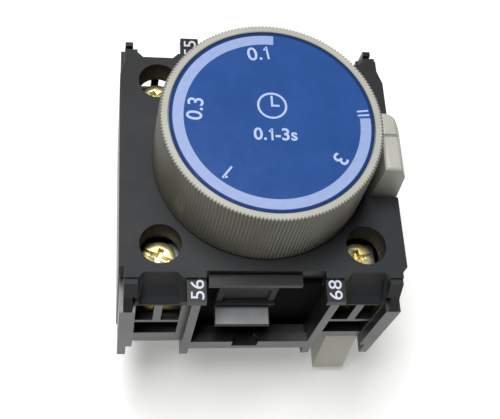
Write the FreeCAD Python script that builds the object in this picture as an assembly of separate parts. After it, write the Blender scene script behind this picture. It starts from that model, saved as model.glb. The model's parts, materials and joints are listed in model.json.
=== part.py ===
import FreeCAD, Part
import math
import os

# Pneumatic on-delay timer block that clips onto the front of a rail-mounted contactor.
# Millimetres. X across the block, Y up the panel, +Z out of the panel towards the dial.
# z = 0 is the mounting plane, where the block's back meets the contactor.

# --- Overall sizes ---------------------------------------------------------------
body_width = 45.0           # across the side walls
body_height = 48.0          # over the wings beside the terminals
face_height = 39.7          # mounting plane to the front face
parting_depth = 27.0        # front face to the underside of the wide housing
dial_rise = 13.3            # front face to the top of the dial

# --- Housing walls ---------------------------------------------------------------
side_wall = 2.2             # side walls between the wings
wing_wall = 1.4             # wings beside the terminals, near the back
wing_thicken = 0.4          # wings thicker than the side walls beside the pockets
wing_side_inset = 0.2       # wings in from the side faces
wing_tip_slope = 1.6
wing_inset = 0.8            # wing tips stand in from the side faces
wing_step = 5.3             # depth below the face where the wing tips begin
cover_thickness = 3.2
end_wall = 1.8
end_inset = 4.0             # end walls between the dividers, in from the wing tips
divider_wall = 1.4
divider_offset = 5.4        # terminal axis to the middle of its divider
guide_wall = 0.8
guide_gap = 0.2             # contact carrier to its guide walls
deck_thickness = 1.6
base_wall = 1.6
base_floor = 2.0
base_inset = 7.5            # base end wall in from the tips of the wings
base_side_inset = 2.2       # base side wall in from the housing's sides

# --- Terminals -------------------------------------------------------------------
terminal_side = 6.3         # screw axis in from the side face
terminal_end = 9.25         # screw axis in from the wing tips
screw_hole_radius = 3.24    # screwdriver access holes in the face
screw_sleeve_wall = 0.6
screw_sleeve_depth = 1.4
screw_head_depth = 5.3      # face to the top of the screw heads
screw_head_radius = 2.69
screw_head_height = 2.2
screw_radius = 1.75
screw_pitch = 0.6
screw_tip_depth = 17.5
screw_slot_width = 0.9
screw_slot_depth = 1.1
screw_cross_size = 2.9
clamp_thickness = 1.2
clamp_width = 6.8
clamp_length = 6.4
clamp_cheek_drop = 0.8
clamp_cheek_wall = 0.8
strip_drop = 9.3            # underside of the cover to the top of the terminal strips
strip_thickness = 1.0
strip_width = 7.2
strip_tail_width = 4.0
running_gap = 0.05          # radial clearance of shafts and screws in their holes
assembly_gap = 0.1          # between flat faces that only pass one another

# --- Terminal openings in the end faces ------------------------------------------
front_wall_near = 3.0       # inner face of the pierced wall, in from the wing tips
front_wall_far = 1.6        # outer face of the same wall
entry_top_depth = 6.6       # wire entries, below the face
entry_bottom_depth = 13.5
crossbar_height = 1.0
window_bottom_depth = 20.0
window_margin = 1.1         # wall left beside the openings, next to the divider
window_side_margin = 0.2    # the same, next to the wing
rib_width = 1.3
pocket_floor_depth = 21.0
pocket_floor_thickness = 1.6
pocket_reach = 3.9          # screw axis to the inner wall of its pocket
pocket_wall = 1.2

# --- Screwdriver and wire hoods at the edge of the face --------------------------
hood_top_inset = 4.6        # hood edge on the face, in from the wing tips
hood_half_top = 2.5
hood_half_rim = 3.4
hood_radius = 6.0

# --- Ends of the front cover -----------------------------------------------------
cover_core_inset = 5.5
cover_band_inset = 3.7
cover_corner_inset = 2.8
corner_drop = 0.5
corner_slope = 1.2
shoulder_chamfer = 2.7
tab_width = 3.0             # tabs that carry the terminal numbers
tab_drop = 0.7
tab_thickness = 1.5
recess_inset = 4.8          # face edge between the tabs
ledge_depth = 1.5
ledge_thickness = 1.1
ledge_left = 8.8
ledge_right = 5.9
snap_leg_width = 4.0
snap_leg_wall = 1.2
snap_leg_length = 6.0
snap_nose = 0.6

# --- Lower band between the dividers, and the marker holder ----------------------
band_depth = 20.4
band_height = 3.6
band_wall = 1.6
band_web = 1.4
band_notch_radius = 2.2
band_notch_centre = -0.7
marker_left = 7.0
marker_right = 2.3
marker_depth = 8.7
marker_lip_depth = 11.2
marker_lip_thickness = 1.0
marker_wall = 1.0

# --- Dial and its spindle --------------------------------------------------------
dial_gap = 0.38             # dial skirt to the locking lever
dial_lift = 0.3             # dial skirt above the face
dial_draft = 0.38           # the skirt narrows by this much towards its top
dial_wall = 1.7
dial_web = 2.0
dial_rim_width = 1.34
dial_rim_height = 0.5
label_thickness = 0.3
label_gap = 0.1
hub_radius = 5.2
hub_lift = 1.8
collar_radius = 7.0
collar_height = 1.6
spindle_radius = 3.0
spindle_head_radius = 2.5
spindle_flat = 0.8
spindle_top_gap = 1.5
clip_radius = 5.0
clip_thickness = 0.8
clip_gap = 0.1

# --- Pneumatic timing head under the cover ---------------------------------------
head_gap = 1.4              # timing head to the contact bridges beside it
head_wall = 1.0
disc_thickness = 1.6
disc_groove_radius = 5.6
disc_groove_width = 1.0
disc_groove_depth = 0.6
seal_thickness = 0.6
head_web = 1.5
head_rim = 1.5
felt_inner_radius = 5.6
felt_thickness = 0.9
bellows_length = 9.9
bellows_folds = 4
bellows_depth = 1.6
bellows_wall = 0.5
plate_thickness = 1.5
plate_boss_radius = 2.2
plate_boss_height = 1.2
delay_spring_radius = 3.6
delay_spring_wire = 0.6
delay_spring_turns = 6
valve_radius = 2.4
valve_thickness = 0.6
valve_stem_radius = 0.8
port_radius = 0.9
port_offset = 5.6

# --- Contacts --------------------------------------------------------------------
stroke = 3.0                # travel of the contact carrier
contact_side = 3.0          # terminal axis to contact axis, across the block
contact_end_gap = 1.45      # ends of the contact bridges to the terminal pockets
contact_tip_radius = 1.3
contact_tip_height = 0.6
bridge_width = 4.0
bridge_thickness = 0.8
bridge_overhang = 1.8
bridge_slot = 0.2           # bridge to its window in the carrier
open_gap_margin = 0.1
carrier_post = 0.8
carrier_half_depth = 2.2
carrier_lintel = 0.8
carrier_bar = 5.0
carrier_room = 0.5          # round the carrier's bar, down to the end of its travel
carrier_pad_radius = 6.0
contact_spring_radius = 1.3
contact_spring_wire = 0.35
contact_spring_turns = 4
nc_spring_length = 4.0
no_spring_length = 2.9

# --- Coupling yoke to the contactor ----------------------------------------------
yoke_reach = 2.2            # yoke below the mounting plane at rest
yoke_half = 3.0
yoke_flange_radius = 6.2
yoke_flange = 2.0
yoke_gap = 0.3
yoke_slot_height = 1.4
yoke_slot_depth = 1.6
return_spring_radius = 5.2
return_spring_wire = 0.8
return_spring_turns = 5

# --- Claws that hook into the contactor ------------------------------------------
claw_x = 14.0
claw_y = 10.0
claw_length = 3.0
claw_thickness = 2.0
claw_width = 4.0
claw_nose = 0.8
claw_nose_height = 1.2
tongue_side_gap = 0.8       # snap tongues to the dividers
tongue_width = 3.0
tongue_wall = 1.2
tongue_height = 2.6
tongue_nose = 0.5

# --- Locking lever ---------------------------------------------------------------
lever_foot_width = 4.5
lever_foot_margin = 0.2     # lever in from the side face
lever_low = 6.0             # lever below the dial's index line
lever_high = 4.2            # lever above it
lever_rise = 9.2            # lever top above the face
lever_shoulder_rise = 6.6
lever_shoulder_inset = 0.6
lever_top_inset = 1.8
lever_round = 0.6
lever_corner_round = 1.8
index_groove = 0.6
lever_foot_clear = 0.7
lever_swing_room = 2.4      # free room in the cover on the side it swings to
lever_notch_gap = 0.2
lever_leg_wall = 2.4
lever_leg_gap = 0.2
lever_leg_low = 4.5
lever_leg_high = 3.5
lever_pivot_depth = 14.7
lever_pin_radius = 1.0
lever_eye_radius = 3.2
lever_arm_drop = 2.3        # underside of the wide housing to the top of the lever's arm
lever_arm_height = 6.4
latch_inset = 3.0           # latch plate face in from the wing tips
latch_thickness = 1.6
latch_width = 5.8
latch_lean = 2.3            # the plate leans out this much towards its foot
latch_round = 0.75
latch_foot = 0.8
latch_clear = 2.1           # below the pocket floor, for the swing
latch_hook = 1.2
lever_spring_wire = 0.4
lever_spring_radius = 1.6
lever_spring_turns = 2

# --- Places worked out from the sizes --------------------------------------------
half_width = body_width / 2
half_height = body_height / 2
inner_x = half_width - side_wall
wing_x = half_width - wing_inset
wing_in = inner_x - wing_thicken
wing_out = half_width - wing_side_inset
cover_under = face_height - cover_thickness
parting_height = face_height - parting_depth
terminal_x = half_width - terminal_side
terminal_y = half_height - terminal_end
divider_mid = terminal_x - divider_offset
divider_in = divider_mid - divider_wall / 2
divider_out = divider_mid + divider_wall / 2
tab_edge = divider_mid - tab_width / 2
end_out = half_height - end_inset
end_in = end_out - end_wall
pocket_out = terminal_y - pocket_reach
pocket_in = pocket_out - pocket_wall
pocket_floor = face_height - pocket_floor_depth
pocket_under = pocket_floor - pocket_floor_thickness
front_in = half_height - front_wall_near
front_out = half_height - front_wall_far
strip_top = cover_under - strip_drop
strip_bottom = strip_top - strip_thickness
contact_x = terminal_x - contact_side
contact_half_span = pocket_in - contact_end_gap - bridge_overhang
carrier_out = contact_x + bridge_width / 2 + bridge_slot + carrier_post
guide_x = carrier_out + guide_gap
base_half_y = half_height - base_inset
tongue_x = divider_out + tongue_side_gap + tongue_width / 2
base_half_x = half_width - base_side_inset
lever_foot_out = half_width - lever_foot_margin
lever_foot_in = lever_foot_out - lever_foot_width
lever_leg_in = guide_x + guide_wall + lever_leg_gap
lever_leg_out = lever_leg_in + lever_leg_wall
lever_pivot_z = face_height - lever_pivot_depth
lever_arm_top = parting_height - lever_arm_drop
lever_arm_bottom = lever_arm_top - lever_arm_height
dial_radius = lever_foot_in - dial_gap
dial_top = face_height + dial_rise
dial_bottom = face_height + dial_lift
head_radius = contact_x - bridge_width / 2 - head_gap
clip_top = cover_under - clip_gap
clip_bottom = clip_top - clip_thickness
disc_top = clip_bottom - clip_gap
disc_bottom = disc_top - disc_thickness
plate_disc_bottom = disc_bottom - disc_thickness
seal_bottom = plate_disc_bottom - seal_thickness
web_bottom = seal_bottom - head_web
head_bottom = web_bottom - head_rim
bellows_bottom = web_bottom - bellows_length
bellows_radius = head_radius - head_wall - 0.2
plate_bottom = bellows_bottom - plate_thickness
bar_bottom = plate_bottom - carrier_bar
nc_fixed_tip = strip_bottom - contact_tip_height
nc_bridge_top = nc_fixed_tip - contact_tip_height
nc_bridge_bottom = nc_bridge_top - bridge_thickness
nc_sill = nc_bridge_bottom - nc_spring_length
no_moving_tip = strip_top + contact_tip_height + stroke + open_gap_margin
no_bridge_bottom = no_moving_tip + contact_tip_height
no_bridge_top = no_bridge_bottom + bridge_thickness
no_lintel = no_bridge_top + no_spring_length

terminals = {"55": (-1, 1), "56": (-1, -1), "67": (1, 1), "68": (1, -1)}


# --- Plain shapes ----------------------------------------------------------------
def vec(x, y, z):
    return FreeCAD.Vector(x, y, z)


def box(x0, x1, y0, y1, z0, z1):
    return Part.makeBox(x1 - x0, y1 - y0, z1 - z0, vec(x0, y0, z0))


def rod(x, y, z0, z1, radius):
    return Part.makeCylinder(radius, z1 - z0, vec(x, y, z0))


def tube(x, y, z0, z1, outer, inner):
    return rod(x, y, z0, z1, outer).cut(rod(x, y, z0, z1, inner))


def prism_x(points, x0, x1):
    outline = [vec(x0, y, z) for y, z in points]
    return Part.Face(Part.makePolygon(outline + outline[:1])).extrude(vec(x1 - x0, 0, 0))


def prism_y(points, y0, y1):
    outline = [vec(x, y0, z) for x, z in points]
    return Part.Face(Part.makePolygon(outline + outline[:1])).extrude(vec(0, y1 - y0, 0))


def prism_z(points, z0, z1):
    outline = [vec(x, y, z0) for x, y in points]
    return Part.Face(Part.makePolygon(outline + outline[:1])).extrude(vec(0, 0, z1 - z0))


def revolve(points):
    outline = [vec(r, 0, z) for r, z in points]
    face = Part.Face(Part.makePolygon(outline + outline[:1]))
    return face.revolve(vec(0, 0, 0), vec(0, 0, 1), 360)


def fuse(shapes):
    return shapes[0].multiFuse(shapes[1:]).removeSplitter()


def cut(shape, tools):
    return shape.cut(tools).removeSplitter()


def mirror_x(shape):
    return shape.mirror(vec(0, 0, 0), vec(1, 0, 0))


def mirror_y(shape):
    return shape.mirror(vec(0, 0, 0), vec(0, 1, 0))


def at_corner(shape, sign_x, sign_y):
    """A shape drawn in the +X +Y corner, mirrored into the wanted corner."""
    if sign_x < 0:
        shape = mirror_x(shape)
    if sign_y < 0:
        shape = mirror_y(shape)
    return shape


def four_corners(shape):
    return [at_corner(shape, sign_x, sign_y) for sign_x, sign_y in terminals.values()]


def coil(x, y, z0, z1, radius, wire, turns):
    """A vertical coil spring, its wire's middle running on the given radius."""
    rise = z1 - z0 - wire
    path = Part.makeLongHelix(rise / turns, rise, radius)
    path.translate(vec(0, 0, z0 + wire / 2))
    section = Part.Circle(vec(radius, 0, z0 + wire / 2), vec(0, 1, 0), wire / 2)
    spring = Part.Wire(path.Edges).makePipeShell([Part.Wire(section.toShape())], True, True)
    spring.translate(vec(x, y, 0))
    return spring


def edges_along(shape, axis, test):
    """Straight edges parallel to an axis whose middle passes the test."""
    found = []
    for edge in shape.Edges:
        if len(edge.Vertexes) != 2:
            continue
        run = edge.Vertexes[1].Point - edge.Vertexes[0].Point
        if run.Length < 0.01 or abs(abs(run.dot(axis)) - run.Length) > 1e-6:
            continue
        if test(edge.CenterOfMass):
            found.append(edge)
    return found


# --- Front cover -----------------------------------------------------------------
def hood():
    """Scooped hood over one pair of wire entries, in the +X +Y corner."""
    y_top = half_height - hood_top_inset
    z_rim = face_height - entry_top_depth
    body = prism_x([(y_top - 1.0, face_height), (y_top, face_height), (y_top + 0.7, face_height - 1.2),
                    (front_out, z_rim + 1.6), (front_out, z_rim), (front_out - 1.2, z_rim),
                    (y_top - 1.0, face_height - 4.6)],
                   divider_out, wing_in)
    rim_y = front_out + 0.1
    mid_y = (y_top + rim_y) / 2
    mid_z = (face_height + z_rim + 0.4) / 2
    half_chord = math.hypot(rim_y - y_top, face_height - z_rim - 0.4) / 2
    lean = math.atan2(rim_y - y_top, face_height - z_rim - 0.4)
    offset = math.sqrt(hood_radius ** 2 - half_chord ** 2)
    centre = vec(0, mid_y + offset * math.cos(lean), mid_z + offset * math.sin(lean))
    bowl = Part.makeCylinder(hood_radius, body_width, centre, vec(1, 0, 0))
    flare = prism_y([(terminal_x - hood_half_top, face_height + 1), (terminal_x + hood_half_top, face_height + 1),
                     (terminal_x + hood_half_rim, z_rim - 1), (terminal_x - hood_half_rim, z_rim - 1)],
                    y_top - 2, half_height + 3)
    return body.cut(bowl.common(flare))


def front_cover():
    y_core = half_height - cover_core_inset
    y_band = half_height - cover_band_inset
    y_corner = half_height - cover_corner_inset
    y_hood = half_height - hood_top_inset
    y_recess = half_height - recess_inset
    chamfer_x = half_width - 0.9
    core = prism_z([(-half_width, -y_core), (half_width, -y_core),
                    (half_width, y_core - shoulder_chamfer), (chamfer_x, y_core),
                    (-chamfer_x, y_core), (-half_width, y_core - shoulder_chamfer)],
                   cover_under, face_height)
    band = prism_z([(tab_edge, y_core - 1), (wing_x, y_core - 1), (wing_x, y_band),
                    (terminal_x + hood_half_rim, y_band), (terminal_x + hood_half_top, y_hood),
                    (terminal_x - hood_half_top, y_hood), (terminal_x - hood_half_rim, y_band),
                    (tab_edge, y_band)],
                   cover_under, face_height)
    corner = prism_x([(y_core - 1, cover_under), (y_corner + corner_slope, cover_under),
                      (y_corner, face_height - corner_drop), (y_core - 1, face_height - corner_drop)],
                     terminal_x + hood_half_rim, wing_x)
    tab = box(tab_edge, tab_edge + tab_width, y_core - 1, half_height,
              face_height - tab_drop - tab_thickness, face_height - tab_drop)
    middle = box(-tab_edge, tab_edge, y_core - 1, y_recess, cover_under, face_height)
    ledge = box(-ledge_left, ledge_right, y_core, end_out + 1.0,
                face_height - ledge_depth - ledge_thickness, face_height - ledge_depth)
    sleeve = rod(terminal_x, terminal_y, cover_under - screw_sleeve_depth, cover_under + 1,
                 screw_hole_radius + screw_sleeve_wall)
    leg = box(-snap_leg_width / 2, snap_leg_width / 2, end_in - assembly_gap - snap_leg_wall,
              end_in - assembly_gap, cover_under - snap_leg_length, cover_under)
    nose = prism_x([(end_in - assembly_gap, cover_under - snap_leg_length),
                    (end_in - assembly_gap + snap_nose, cover_under - snap_leg_length + snap_nose),
                    (end_in - assembly_gap + snap_nose, cover_under - snap_leg_length + 2 * snap_nose),
                    (end_in - assembly_gap, cover_under - snap_leg_length + 2 * snap_nose)],
                   -snap_leg_width / 2, snap_leg_width / 2)
    pieces = [core]
    pieces += four_corners(band) + four_corners(corner) + four_corners(tab)
    pieces += four_corners(sleeve) + four_corners(hood())
    for piece in (middle, ledge, leg, nose):
        pieces += [piece, mirror_y(piece)]
    pieces.append(rod(0, 0, cover_under, face_height + collar_height, collar_radius))
    hole = rod(terminal_x, terminal_y, 0, face_height + 1, screw_hole_radius)
    notch = box(lever_foot_in - lever_notch_gap, half_width + 1, -lever_low - lever_notch_gap,
                lever_high + lever_swing_room, cover_under - 1, face_height + 1)
    bore = rod(0, 0, 0, dial_top, spindle_radius + running_gap)
    return cut(fuse(pieces), four_corners(hole) + [notch, bore])


# --- Main housing ----------------------------------------------------------------
def housing_corner():
    """Walls round one terminal pocket, in the +X +Y corner."""
    wing_top = face_height - wing_step
    y_core = half_height - cover_core_inset
    window_left = divider_out + window_margin
    window_right = wing_in - window_side_margin
    z_entry_top = face_height - entry_top_depth
    z_entry = face_height - entry_bottom_depth
    z_window = face_height - window_bottom_depth
    wing_low = box(wing_out - wing_wall, wing_out, y_core, half_height, parting_height, pocket_floor)
    wing_mid = box(wing_in, wing_out, y_core, half_height, pocket_under, wing_top)
    wing_tip = prism_x([(y_core, wing_top), (half_height, wing_top),
                        (half_height - wing_tip_slope, cover_under), (y_core, cover_under)],
                       inner_x, wing_x)
    divider = box(divider_in, divider_out, end_in, half_height, parting_height, cover_under)
    divider_head = box(divider_in, divider_out, half_height - cover_band_inset + assembly_gap, half_height,
                       cover_under, face_height - tab_drop - tab_thickness)
    wall = box(divider_in, inner_x, front_in, front_out, pocket_under, z_entry_top)
    entries = box(window_left, window_right, front_in - 1, front_out + 1, z_entry, z_entry_top + 1)
    rib = box(terminal_x - rib_width / 2, terminal_x + rib_width / 2, front_in, front_out, z_entry, z_entry_top)
    window = box(window_left, window_right, front_in - 1, front_out + 1, z_window, z_entry - crossbar_height)
    floor = box(divider_in, inner_x, pocket_in, front_out, pocket_under, pocket_floor)
    inner = box(divider_in, inner_x, pocket_in, pocket_out, parting_height, cover_under)
    side = box(divider_in, divider_out, pocket_in, end_out, parting_height, cover_under)
    wall = wall.cut([entries, window])
    return fuse([wing_low, wing_mid, wing_tip, divider, divider_head, wall, rib, floor, inner, side])


def strip_slot():
    """Passage for the tail of one terminal strip through the pocket's inner wall."""
    half = strip_tail_width / 2 + assembly_gap
    return box(contact_x - half, contact_x + half, pocket_in - 1, pocket_out + 1,
               strip_bottom - assembly_gap, strip_top + assembly_gap)


def main_housing():
    y_core = half_height - cover_core_inset
    chamfer_x = half_width - 0.9
    side = prism_z([(inner_x, -y_core), (half_width, -y_core), (half_width, y_core - shoulder_chamfer),
                    (chamfer_x, y_core), (inner_x, y_core)], parting_height, cover_under)
    end = box(-divider_in, divider_in, end_in, end_out, parting_height, cover_under)
    z_band = face_height - band_depth
    band = box(-divider_in, divider_in, half_height - band_wall, half_height, z_band - band_height, z_band)
    web = box(-divider_in, divider_in, end_in, half_height, z_band - band_height, z_band - band_height + band_web)
    notch = rod(band_notch_centre, half_height, z_band - band_height - 1, z_band + 1, band_notch_radius)
    sill = box(-divider_in, divider_in, end_in, half_height - band_wall, parting_height, z_band - band_height)
    band = fuse([band.cut(notch), web, sill])
    guide = box(guide_x, guide_x + guide_wall, -pocket_out, pocket_out, parting_height, cover_under - 1)
    deck = box(-inner_x, inner_x, -end_in, end_in, parting_height, parting_height + deck_thickness)
    horn = prism_x([(half_height - wing_tip_slope, face_height - wing_step), (half_height, face_height - wing_step),
                    (half_height - 0.3, face_height - 2), (half_height - 1.1, face_height - 2)],
                   inner_x, wing_x - 0.1)
    skirt = box(divider_out, inner_x, end_in - 1, front_out - 0.4, parting_height, pocket_under)
    skirt = skirt.makeFillet(1.5, edges_along(skirt, vec(1, 0, 0), lambda p: p.y > end_out))
    pieces = [side, mirror_x(side), guide, mirror_x(guide), deck, horn, mirror_x(horn)]
    pieces += [end, mirror_y(end), band, mirror_y(band)]
    pieces += [skirt, mirror_x(skirt), mirror_x(mirror_y(skirt))]
    pieces += four_corners(housing_corner())
    opening = box(-guide_x, guide_x, -pocket_in, pocket_in, parting_height - 1, parting_height + deck_thickness + 1)
    lever_slot = box(guide_x + guide_wall, inner_x, -lever_leg_low - lever_swing_room - 0.4,
                     lever_leg_high + lever_swing_room, parting_height - 1, parting_height + deck_thickness + 1)
    nose_window = box(-snap_leg_width / 2 - assembly_gap, snap_leg_width / 2 + assembly_gap,
                      end_in - 1, end_in + snap_nose + assembly_gap,
                      cover_under - snap_leg_length - assembly_gap,
                      cover_under - snap_leg_length + 2 * snap_nose + assembly_gap)
    pin = Part.makeCylinder(lever_pin_radius, half_width - guide_x, vec(guide_x - 0.5, 0, lever_pivot_z),
                            vec(1, 0, 0))
    cuts = four_corners(strip_slot()) + four_corners(tongue_slot())
    cuts += [opening, lever_slot, nose_window, mirror_y(nose_window), pin]
    return cut(fuse(pieces), cuts)


# --- Base with the claws ---------------------------------------------------------
def tongue():
    """Snap tongue of the base that grips the deck above it, in the +X +Y corner."""
    y_out = base_half_y
    z_deck = parting_height + deck_thickness
    return prism_x([(y_out - tongue_wall, parting_height - 2), (y_out, parting_height - 2),
                    (y_out, z_deck), (y_out + tongue_nose, z_deck), (y_out, z_deck + tongue_height - deck_thickness),
                    (y_out - tongue_wall, z_deck + tongue_height - deck_thickness)],
                   tongue_x - tongue_width / 2, tongue_x + tongue_width / 2)


def tongue_slot():
    half = tongue_width / 2 + assembly_gap
    return box(tongue_x - half, tongue_x + half, base_half_y - tongue_wall - assembly_gap,
               base_half_y + assembly_gap, parting_height - 1, parting_height + deck_thickness + 0.001)


def claw():
    """One hook below the mounting plane, in the +X +Y corner."""
    x_in = claw_x - claw_thickness / 2
    x_out = claw_x + claw_thickness / 2
    return prism_y([(x_in, base_floor / 2), (x_out, base_floor / 2), (x_out, -claw_length + claw_nose_height),
                    (x_out + claw_nose, -claw_length + claw_nose_height), (x_out, -claw_length),
                    (x_in, -claw_length)],
                   claw_y - claw_width / 2, claw_y + claw_width / 2)


def base_housing():
    outer = box(-base_half_x, base_half_x, -base_half_y, base_half_y, 0, parting_height)
    outer = outer.makeFillet(1.2, edges_along(outer, vec(0, 0, 1), lambda p: True))
    hollow = box(-base_half_x + base_wall, base_half_x - base_wall, -base_half_y + base_wall,
                 base_half_y - base_wall, base_floor, parting_height + 1)
    channel_in = guide_x + guide_wall
    channel_y = lever_leg_high + lever_swing_room
    partition = box(channel_in - base_wall, channel_in, -base_half_y, channel_y + base_wall, 0, parting_height)
    shelf = box(channel_in - base_wall, base_half_x, channel_y, channel_y + base_wall, 0, parting_height)
    channel = box(channel_in, body_width, -body_height, channel_y, lever_arm_bottom - 1, parting_height + 1)
    opening = box(-yoke_half - yoke_gap, yoke_half + yoke_gap, -yoke_half - yoke_gap, yoke_half + yoke_gap,
                  -1, base_floor + 1)
    bar_room = box(0, guide_x, -carrier_half_depth - carrier_room, carrier_half_depth + carrier_room,
                   bar_bottom - stroke - carrier_room, parting_height + 1)
    walls = cut(outer, [hollow])
    walls = fuse([walls, partition, shelf] + four_corners(claw()) + four_corners(tongue()))
    return cut(walls, [channel, opening, bar_room])


def marker_holder():
    """Snap-in box for a marking strip, in the recess between the number tabs."""
    z_top = face_height - ledge_depth - ledge_thickness
    y_wall = -(half_height - cover_band_inset + 0.7)
    block = box(-marker_left, marker_right, y_wall, -end_out, face_height - marker_lip_depth, z_top)
    lip = prism_x([(-end_out, face_height - marker_lip_depth - marker_lip_thickness),
                   (-half_height, face_height - marker_lip_depth - marker_lip_thickness),
                   (-half_height, face_height - marker_lip_depth - 0.3),
                   (-end_out, face_height - marker_lip_depth + 0.2)],
                  -marker_left, marker_right - 0.3)
    window = box(-marker_left + marker_wall, marker_right - marker_wall, y_wall - 1, y_wall + 0.4,
                 face_height - marker_depth, z_top - marker_wall)
    edge = box(-marker_left, marker_right + 0.3, y_wall - 0.4, y_wall,
               face_height - marker_depth - 0.5, face_height - marker_depth)
    return fuse([block.cut(window), lip, edge])


# --- Dial ------------------------------------------------------------------------
def dial_knob():
    top_radius = dial_radius - dial_draft
    label_radius = top_radius - dial_rim_width
    z_label = dial_top - dial_rim_height
    z_web = z_label - dial_web
    inner = dial_radius - dial_wall
    z_hub = face_height + hub_lift
    skirt = revolve([(0, z_hub), (hub_radius, z_hub), (hub_radius, z_web), (inner, z_web), (inner, dial_bottom),
                     (dial_radius, dial_bottom), (top_radius, dial_top), (label_radius, dial_top),
                     (label_radius, z_label), (0, z_label)])
    socket = rod(0, 0, z_hub - 1, z_label - spindle_top_gap + assembly_gap, spindle_head_radius + running_gap)
    flat = box(-hub_radius, hub_radius, spindle_head_radius + running_gap - spindle_flat, hub_radius,
               z_hub - 1, z_label)
    return cut(skirt, [socket.cut(flat)])


def dial_label():
    radius = dial_radius - dial_draft - dial_rim_width - label_gap
    z_seat = dial_top - dial_rim_height
    return rod(0, 0, z_seat, z_seat + label_thickness, radius)


def dial_spindle():
    z_step = face_height + hub_lift
    z_top = dial_top - dial_rim_height - spindle_top_gap
    shaft = rod(0, 0, disc_bottom, z_step, spindle_radius)
    neck = rod(0, 0, z_step, z_top, spindle_head_radius)
    flat = box(-hub_radius, hub_radius, spindle_head_radius - spindle_flat, hub_radius, z_step, z_top + 1)
    groove = tube(0, 0, clip_bottom - 0.05, clip_top + 0.05, spindle_radius + 1, spindle_radius - 0.5)
    return cut(fuse([shaft, neck.cut(flat)]), [groove])


def spindle_clip():
    ring = tube(0, 0, clip_bottom, clip_top, clip_radius, spindle_radius - 0.4)
    return ring.cut(box(-1.6, 1.6, -clip_radius - 1, 0, clip_bottom - 1, clip_top + 1))


# --- Timing head -----------------------------------------------------------------
def metering_disc():
    disc = rod(0, 0, disc_bottom, disc_top, head_radius - head_wall - 0.3)
    groove = tube(0, 0, disc_bottom, disc_bottom + disc_groove_depth,
                  disc_groove_radius + disc_groove_width / 2, disc_groove_radius - disc_groove_width / 2)
    sector = box(-1.2, 1.2, 0, head_radius, disc_bottom, disc_bottom + disc_groove_depth)
    return cut(disc, [groove.cut(sector), rod(0, 0, 0, dial_top, spindle_radius)])


def metering_plate():
    plate = rod(0, 0, plate_disc_bottom, disc_bottom, head_radius - head_wall - 0.1)
    port = rod(0, -port_offset, plate_disc_bottom - 1, disc_bottom + 1, port_radius)
    return cut(plate, [port])


def seal_ring():
    ring = tube(0, 0, seal_bottom, plate_disc_bottom, head_radius - head_wall - 0.1, disc_groove_radius + 1.3)
    return ring


def air_filter():
    return tube(0, 0, cover_under - felt_thickness, cover_under, head_radius - head_wall - 0.1, felt_inner_radius)


def timing_head():
    cup = rod(0, 0, head_bottom, cover_under, head_radius)
    upper = rod(0, 0, seal_bottom, cover_under + 1, head_radius - head_wall)
    lower = rod(0, 0, head_bottom - 1, web_bottom, head_radius - head_wall)
    stem_hole = rod(0, 0, web_bottom - 1, seal_bottom + 1, valve_stem_radius + running_gap)
    port = rod(0, -port_offset, web_bottom - 1, seal_bottom + 1, port_radius)
    return cut(cup, [upper, lower, stem_hole, port])


def check_valve():
    flap = rod(0, 0, web_bottom - valve_thickness, web_bottom, valve_radius)
    stem = rod(0, 0, web_bottom, seal_bottom, valve_stem_radius)
    return fuse([flap, stem])


def bellows():
    steps = 2 * bellows_folds
    rise = bellows_length / steps
    outer = []
    for i in range(steps + 1):
        fold = bellows_depth if i % 2 else 0
        outer.append((bellows_radius - fold, web_bottom - i * rise))
    inner = [(radius - bellows_wall, z) for radius, z in reversed(outer)]
    return revolve(outer + inner)


def bellows_plate():
    disc = rod(0, 0, plate_bottom, bellows_bottom, bellows_radius)
    boss = rod(0, 0, bellows_bottom, bellows_bottom + plate_boss_height, plate_boss_radius)
    return fuse([disc, boss])


def delay_spring():
    return coil(0, 0, bellows_bottom, web_bottom, delay_spring_radius, delay_spring_wire, delay_spring_turns)


# --- Contact carrier and contacts ------------------------------------------------
def contact_carrier():
    bar = box(-carrier_out, carrier_out, -carrier_half_depth, carrier_half_depth, bar_bottom, plate_bottom)
    pad = rod(0, 0, bar_bottom, plate_bottom, carrier_pad_radius)
    frame_in = contact_x - bridge_width / 2 - bridge_slot - carrier_post
    window_in = contact_x - bridge_width / 2 - bridge_slot
    window_out = contact_x + bridge_width / 2 + bridge_slot
    nc_top = strip_bottom + carrier_lintel
    nc_frame = box(-carrier_out, -frame_in, -carrier_half_depth, carrier_half_depth, bar_bottom, nc_top)
    nc_window = box(-window_out, -window_in, -carrier_half_depth - 1, carrier_half_depth + 1, nc_sill,
                    nc_top - carrier_lintel)
    no_frame = box(frame_in, carrier_out, -carrier_half_depth, carrier_half_depth, bar_bottom,
                   no_lintel + carrier_lintel)
    no_window = box(window_in, window_out, -carrier_half_depth - 1, carrier_half_depth + 1,
                    no_bridge_bottom, no_lintel)
    return cut(fuse([bar, pad, nc_frame, no_frame]), [nc_window, no_window])


def contact_bridge(sign_x, z_bottom):
    reach = contact_half_span + bridge_overhang
    x = sign_x * contact_x
    bridge = box(x - bridge_width / 2, x + bridge_width / 2, -reach, reach, z_bottom, z_bottom + bridge_thickness)
    return bridge.makeFillet(1.2, edges_along(bridge, vec(0, 0, 1), lambda p: True))


def contact_tips(sign_x, z_bottom):
    x = sign_x * contact_x
    z_top = z_bottom + contact_tip_height
    return [rod(x, y, z_bottom, z_top, contact_tip_radius) for y in (-contact_half_span, contact_half_span)]


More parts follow.
